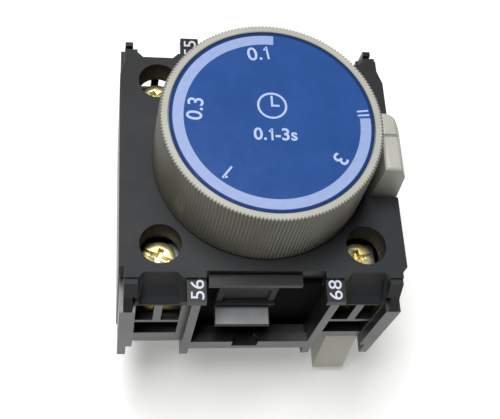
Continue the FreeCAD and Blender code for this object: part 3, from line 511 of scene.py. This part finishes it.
# shallow teeth on the skirt, deeper ones on the rim
for lowest, highest, depth in ((dial["low"] + 0.1, dial["footTop"], dial["toothFoot"]),
                               (dial["footTop"], dial["rimTop"], dial["toothDepth"])):
    selectVerts(knob, lambda point: inKnurlValley(point) and lowest * mm < point.z < highest * mm)
    shrink = 1 - depth / dial["base"]
    bpy.ops.transform.resize(value=(shrink, shrink, 1), center_override=(0, 0, 0))
bpy.ops.object.mode_set(mode="OBJECT")
clearSelection()
knob.select_set(True)
bpy.context.view_layer.objects.active = knob
bpy.ops.object.shade_smooth_by_angle(angle=math.radians(dial["smoothAngle"]))
finished(knob, "dial", knurledBeige, ["dial_knob"])
print("dial turned and knurled")


# prints on the dial film
prints = {
    "lift": 0.02, "arcInner": 13.42, "arcOuter": 15.05, "arcStart": 86.3, "arcTurn": 275.9, "arcSteps": 140,
    "tickInner": 13.2, "tickOuter": 15.0, "tickWidth": 0.3, "tickAngles": (7.4, 4.4),
    "numbers": (("0.1", 98.0), ("0.3", 173.4), ("1", -127.5), ("3", -34.4)),
    "numberRadius": 11.75, "numberHeight": 2.35, "soft": 0.008,
    "numberLine": 0.32,
}
printZ = labelHigh.z / mm


def thinBar(name, low, high):
    clearSelection()
    size = [high[i] - low[i] for i in range(3)]
    middle = [(high[i] + low[i]) / 2 * mm for i in range(3)]
    bpy.ops.mesh.primitive_cube_add(size=1, location=middle)
    piece = started(name)
    piece.scale = [value * mm for value in size]
    bpy.ops.object.transform_apply(location=True, rotation=True, scale=True)
    return piece


def softBar(name, low, high, soft):
    # a bar with every edge rounded
    piece = thinBar(name, low, high)
    bpy.ops.object.mode_set(mode="EDIT")
    bpy.ops.mesh.select_all(action="SELECT")
    bpy.ops.mesh.bevel(offset=soft * mm, segments=2)
    bpy.ops.object.mode_set(mode="OBJECT")
    return piece


def turnPiece(piece, degrees):
    piece.data.transform(Matrix.Rotation(math.radians(degrees), 4, "Z"))


def arcBand(name, inner, outer, start, turn, steps):
    band = thinBar(name, (inner, -0.005, printZ), (outer, 0.005, printZ + prints["lift"]))
    selectFaces(band, lambda face: face.normal.y > 0.9)
    bpy.ops.mesh.spin(steps=steps, angle=-math.radians(turn), center=(0, 0, 0), axis=(0, 0, 1))
    bpy.ops.mesh.select_all(action="SELECT")
    bpy.ops.mesh.remove_doubles(threshold=0.001 * mm)
    bpy.ops.mesh.normals_make_consistent(inside=False)
    bpy.ops.object.mode_set(mode="OBJECT")
    turnPiece(band, start)
    return band


# how a figure's height and stroke relate to the font, the shape of a one, and the space between figures
figures = {"capHeight": 0.70, "fontStroke": 0.105, "flagReach": 0.26, "flagStart": 0.2, "flagDrop": 0.75,
           "flagTilt": 34, "gap": 0.16}


def printedText(name, body, height, lift, line):
    clearSelection()
    bpy.ops.object.text_add(location=(0, 0, 0))
    text = started(name)
    text.data.body = body
    text.data.size = height / figures["capHeight"] * mm
    text.data.align_x = "CENTER"
    text.data.align_y = "CENTER"
    text.data.extrude = lift / 2 * mm
    text.data.offset = (line - height * figures["fontStroke"]) / 2 * mm
    text.data.resolution_u = 6
    bpy.ops.object.convert(target="MESH")
    piece = started(name)
    bpy.ops.object.mode_set(mode="EDIT")
    bpy.ops.mesh.select_all(action="SELECT")
    bpy.ops.mesh.remove_doubles(threshold=0.002 * mm)
    bpy.ops.object.mode_set(mode="OBJECT")
    corners = [vertex.co for vertex in piece.data.vertices]
    middle = [(min(c[i] for c in corners) + max(c[i] for c in corners)) / 2 for i in range(3)]
    piece.data.transform(Matrix.Translation(-Vector(middle)))
    return piece


arc = arcBand("scaleArc", prints["arcInner"], prints["arcOuter"], prints["arcStart"], prints["arcTurn"],
              prints["arcSteps"])
finished(arc, "dial", tintInk)
ticks = []
for number, angle in enumerate(prints["tickAngles"]):
    tick = softBar(f"tick{number}", (prints["tickInner"], -prints["tickWidth"] / 2, printZ),
                   (prints["tickOuter"], prints["tickWidth"] / 2, printZ + prints["lift"]), prints["soft"])
    turnPiece(tick, angle)
    ticks.append(tick)
finished(joined(ticks, "scaleTicks"), "dial", paleInk)


def printedOne(name, height, line):
    # an upright figure one: a stem and a short flag
    lift, soft = prints["lift"], prints["soft"]
    stem = softBar("stem", (-line / 2, -height / 2, 0), (line / 2, height / 2, lift), soft)
    flag = softBar("flag", (-height * figures["flagReach"], -line / 2, 0),
                   (-line * figures["flagStart"], line / 2, lift), soft)
    flag.data.transform(Matrix.Translation((0, (height / 2 - line * figures["flagDrop"]) * mm, 0))
                        @ Matrix.Rotation(math.radians(figures["flagTilt"]), 4, "Z"))
    return joined([stem, flag], name)


def printedFigures(name, text, height, line):
    # figures set side by side from the middle, with the ones drawn apart
    drawn, widths = [], []
    for run in text.replace("1", " 1 ").split():
        if run == "1":
            figure = printedOne("figure", height, line)
        else:
            figure = printedText("figure", run, height, prints["lift"], line)
        xs = [vertex.co.x for vertex in figure.data.vertices]
        drawn.append(figure)
        widths.append((min(xs), max(xs)))
    gap = height * figures["gap"] * mm
    total = sum(high - low for low, high in widths) + gap * (len(widths) - 1)
    edge = -total / 2
    for figure, (low, high) in zip(drawn, widths):
        bottom = min(vertex.co.y for vertex in figure.data.vertices)
        floorZ = min(vertex.co.z for vertex in figure.data.vertices)
        move = (edge - low, -height / 2 * mm - bottom, printZ * mm - floorZ)
        figure.data.transform(Matrix.Translation(move))
        edge += high - low + gap
    return joined(drawn, name)


numbers = []
for body, angle in prints["numbers"]:
    number = printedFigures("number", body, prints["numberHeight"], prints["numberLine"])
    number.data.transform(Matrix.Translation((0, prints["numberRadius"] * mm, 0)))
    turnPiece(number, angle - 90)
    numbers.append(number)
finished(joined(numbers, "scaleNumbers"), "dial", paleInk)

clock = {"place": (0.0, 2.3), "radius": 2.3, "line": 0.34, "minute": 1.75, "hour": 1.15,
         "rangeText": "0.1-3s", "rangePlace": (0.2, -2.7), "rangeHeight": 2.0}
ring = arcBand("clockRing", clock["radius"] - clock["line"], clock["radius"], 0, 359.9, 60)
hands = [softBar("minuteHand", (-clock["line"] / 2, -clock["line"] / 2, printZ),
                 (clock["line"] / 2, clock["minute"], printZ + prints["lift"]), prints["soft"]),
         softBar("hourHand", (clock["line"] / 2, -clock["line"] / 2, printZ),
                 (clock["hour"], clock["line"] / 2, printZ + prints["lift"]), prints["soft"])]
pictogram = joined([ring] + hands, "clockPictogram")
pictogram.data.transform(Matrix.Translation((clock["place"][0] * mm, clock["place"][1] * mm, 0)))
rangeText = printedFigures("rangeText", clock["rangeText"], clock["rangeHeight"], prints["numberLine"])
rangeText.data.transform(Matrix.Translation((clock["rangePlace"][0] * mm, clock["rangePlace"][1] * mm, 0)))
finished(joined([pictogram, rangeText], "clockPictogram"), "dial", paleInk)
print("dial printed")


# terminal numbers on the cover's tabs
_, coverHigh, _ = place("front_cover")
terminalNumbers = {
    "belowCollar": 2.3, "lift": 0.03, "height": 2.05, "line": 0.23, "wider": 1.18, "across": 10.7,
    "along": 22.0, "turn": 90,
}
tabTop = coverHigh.z / mm - terminalNumbers["belowCollar"]
for name in ("55", "56", "67", "68"):
    _, _, middle = place(f"terminal_screw_{name}")
    sideways = math.copysign(terminalNumbers["across"], middle.x)
    upwards = math.copysign(terminalNumbers["along"], middle.y)
    digits = printedText(f"terminalNumber{name}", name, terminalNumbers["height"], terminalNumbers["lift"],
                         terminalNumbers["line"])
    digits.data.transform(Matrix.Diagonal((terminalNumbers["wider"], 1, 1, 1)))
    turnPiece(digits, terminalNumbers["turn"])
    digitsZ = tabTop + terminalNumbers["lift"] / 2
    digits.data.transform(Matrix.Translation((sideways * mm, upwards * mm, digitsZ * mm)))
    finished(digits, "housing", whiteInk)
print("terminal numbers printed")


# painted reflection: a thin grey sheet laid on the lip of the marker holder, where the ledge catches the
# light
paintedLedgeHighlight = {"left": -6.85, "right": 1.85, "back": -20.15, "front": -23.9, "backZ": 28.72,
                "frontZ": 28.22, "thick": 0.12, "soft": 0.04}
stripTop = paintedLedgeHighlight["frontZ"] + paintedLedgeHighlight["thick"]
strip = thinBar("paintedLedgeHighlight", (paintedLedgeHighlight["left"], paintedLedgeHighlight["front"], paintedLedgeHighlight["frontZ"]),
                (paintedLedgeHighlight["right"], paintedLedgeHighlight["back"], stripTop))
middleY = (paintedLedgeHighlight["front"] + paintedLedgeHighlight["back"]) / 2 * mm
selectVerts(strip, lambda point: point.y > middleY)
bpy.ops.transform.translate(value=(0, 0, (paintedLedgeHighlight["backZ"] - paintedLedgeHighlight["frontZ"]) * mm))
bpy.ops.mesh.select_all(action="SELECT")
bpy.ops.mesh.bevel(offset=paintedLedgeHighlight["soft"] * mm, segments=2)
bpy.ops.object.mode_set(mode="OBJECT")
finished(strip, "housing", paintedHighlightGrey)
print("marking strip laid")


# terminal screws
screwLow, screwHigh, screwMiddle = place("terminal_screw_68")
screw = {
    "head": 2.69, "headHeight": 2.2, "shank": 1.75, "core": 1.42, "pitch": 0.6, "soft": 0.22, "tip": 1.1,
    "steps": 40, "cutSoft": 0.07, "crestStart": 0.45, "crestEnd": 0.6, "above": 1,
    "slotWidth": 0.9, "slotDepth": 1.1, "crossLength": 2.9, "crossWidth": 0.9, "crossDepth": 1.5,
}


def screwProfile(look, low, high):
    under = high - look["headHeight"]
    profile = [(look["tip"], low), (look["core"], low + 0.3)]
    height = low + 0.3
    while height + look["pitch"] < under - 0.5:
        profile += [(look["shank"], height + look["pitch"] * look["crestStart"]),
                    (look["shank"], height + look["pitch"] * look["crestEnd"]),
                    (look["core"], height + look["pitch"])]
        height += look["pitch"]
    soft = look["soft"]
    return profile + [(look["core"], under), (look["head"] - soft / 2, under),
                      (look["head"], under + soft / 2), (look["head"], high - soft * 1.6),
                      (look["head"] - soft * 0.5, high - soft * 0.5),
                      (look["head"] - soft * 1.6, high)]


def cutAway(piece, cutter):
    applyModifier(piece, "BOOLEAN", operation="DIFFERENCE", object=cutter, solver="EXACT")
    bpy.data.objects.remove(cutter)


x, y, top = screwMiddle.x / mm, screwMiddle.y / mm, screwHigh.z / mm
masterScrew = turned("terminalScrew", screwProfile(screw, screwLow.z / mm, top), screw["steps"], (x, y))
slotCuts = ((screw["head"] + 1, screw["slotWidth"] / 2, screw["slotDepth"]),
            (screw["crossLength"] / 2, screw["crossWidth"] / 2, screw["crossDepth"]),
            (screw["crossWidth"] / 2, screw["crossLength"] / 2, screw["crossDepth"]))
for halfLong, halfWide, depth in slotCuts:
    cutAway(masterScrew, thinBar("slotCutter", (x - halfLong, y - halfWide, top - depth),
                                 (x + halfLong, y + halfWide, top + screw["above"])))
applyModifier(masterScrew, "BEVEL", width=screw["cutSoft"] * mm, segments=2, limit_method="ANGLE",
              angle_limit=math.radians(50))
clearSelection()
masterScrew.select_set(True)
bpy.context.view_layer.objects.active = masterScrew
bpy.ops.object.shade_smooth_by_angle(angle=math.radians(32))
screwTurns = {"55": 35, "56": -22, "67": 60, "68": 12}
for name, turn in screwTurns.items():
    _, _, middle = place(f"terminal_screw_{name}")
    one = copied(masterScrew, f"terminalScrew{name}", (-screwMiddle.x, -screwMiddle.y, 0))
    turnPiece(one, turn)
    one.data.transform(Matrix.Translation((middle.x, middle.y, 0)))
    finished(one, f"screw_{name}", yellowZinc, [f"terminal_screw_{name}"])
bpy.data.objects.remove(masterScrew)
print("screws cut")


# springs and bellows reach from one body to another; each is copied into a mesh of its own and the packed
# part is hidden
stretched = {"yoke_return_spring": "returnSpringCoil", "bellows": "bellowsFolds",
             "delay_spring": "delaySpringCoil"}
for joint in frame["record"]["behaviour"]["joints"]:
    for held in joint.get("deforming_nodes", ()):
        node = nodes[held["node"]]
        low, high, middle = place(held["node"])
        coil = copied(node, stretched[held["node"]])
        coil.parent = None
        coil.matrix_world = node.matrix_world
        for key in list(coil.keys()):
            del coil[key]
        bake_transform(coil)
        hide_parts(held["node"])


# floor, light and camera
def cameraTurn(yaw, pitch, roll):
    sinYaw, cosYaw = math.sin(yaw), math.cos(yaw)
    sinPitch, cosPitch = math.sin(pitch), math.cos(pitch)
    ahead = Vector((sinYaw * cosPitch, cosYaw * cosPitch, sinPitch))
    right = Vector((cosYaw, -sinYaw, 0))
    up = right.cross(ahead)
    side = right * math.cos(roll) + up * math.sin(roll)
    top = up * math.cos(roll) - right * math.sin(roll)
    return Matrix((side, top, -ahead)).transposed(), ahead


view = {"place": (-24.456, -71.253, 169.368), "yaw": -2.625, "pitch": -59.07, "roll": -1.081, "lens": 66.5,
        "aim": (0.3, -2.2, 26.0)}
turnMatrix, ahead = cameraTurn(*(math.radians(view[key]) for key in ("yaw", "pitch", "roll")))
cameraPlace = Vector(view["place"]) * mm
towards = (Vector(view["aim"]) * mm - cameraPlace).normalized()
swing = ahead.rotation_difference(towards).to_matrix()
cameraData = bpy.data.cameras.new("viewCamera")
cameraData.lens = view["lens"]
cameraData.sensor_width = 36
cameraData.sensor_fit = "HORIZONTAL"
cameraData.clip_start = 0.005
cameraData.clip_end = 20
camera = bpy.data.objects.new("viewCamera", cameraData)
bpy.context.scene.collection.objects.link(camera)
camera.matrix_world = Matrix.Translation(cameraPlace) @ (swing @ turnMatrix).to_4x4()
bpy.context.scene.camera = camera
bpy.context.scene.view_settings.view_transform = "Standard"

studio = {"floor": "#f4f4f2", "world": "#eef0f3", "worldStrength": 0.02, "floorGlow": 0.36}
clearSelection()
bpy.ops.mesh.primitive_plane_add(size=6, location=(0, 0, cadBox[0][2] - 0.02 * mm))
floor = started("studioFloor")
floorMaterial, floorTree, floorShader, floorWhere = newMaterial("paperSweep", 0.8)
floorNoise = addNode(floorTree, "ShaderNodeTexNoise", {"Scale": perMetre(40), "Detail": 2.0},
                     {"Vector": floorWhere})
floorColour = addNode(floorTree, "ShaderNodeValToRGB", {"stops": [(0.3, "#f2f2f0"), (0.7, "#f6f6f5")]},
                      {0: floorNoise.outputs["Fac"]})
floorTree.links.new(floorColour.outputs["Color"], floorShader.inputs["Base Color"])
floor.data.materials.append(floorMaterial)
floorShader.inputs["Emission Color"].default_value = linearColour(studio["floor"])
floorShader.inputs["Emission Strength"].default_value = studio["floorGlow"]

world = bpy.data.worlds.new("studioWorld")
world.use_nodes = True
background = world.node_tree.nodes["Background"]
background.inputs["Color"].default_value = linearColour(studio["world"])
background.inputs["Strength"].default_value = studio["worldStrength"]
bpy.context.scene.world = world


def areaLight(name, placeMm, aimMm, sizeMm, power):
    lamp = bpy.data.lights.new(name, "AREA")
    lamp.shape = "RECTANGLE"
    lamp.size, lamp.size_y = sizeMm[0] * mm, sizeMm[1] * mm
    lamp.energy = power
    holder = bpy.data.objects.new(name, lamp)
    bpy.context.scene.collection.objects.link(holder)
    holder.location = Vector(placeMm) * mm
    holder.rotation_euler = (Vector(aimMm) - Vector(placeMm)).to_track_quat("-Z", "Y").to_euler()


areaLight("overheadSoftbox", (-120, 40, 620), (0, 0, 20), (420, 200), 4.0)
print("stage set")
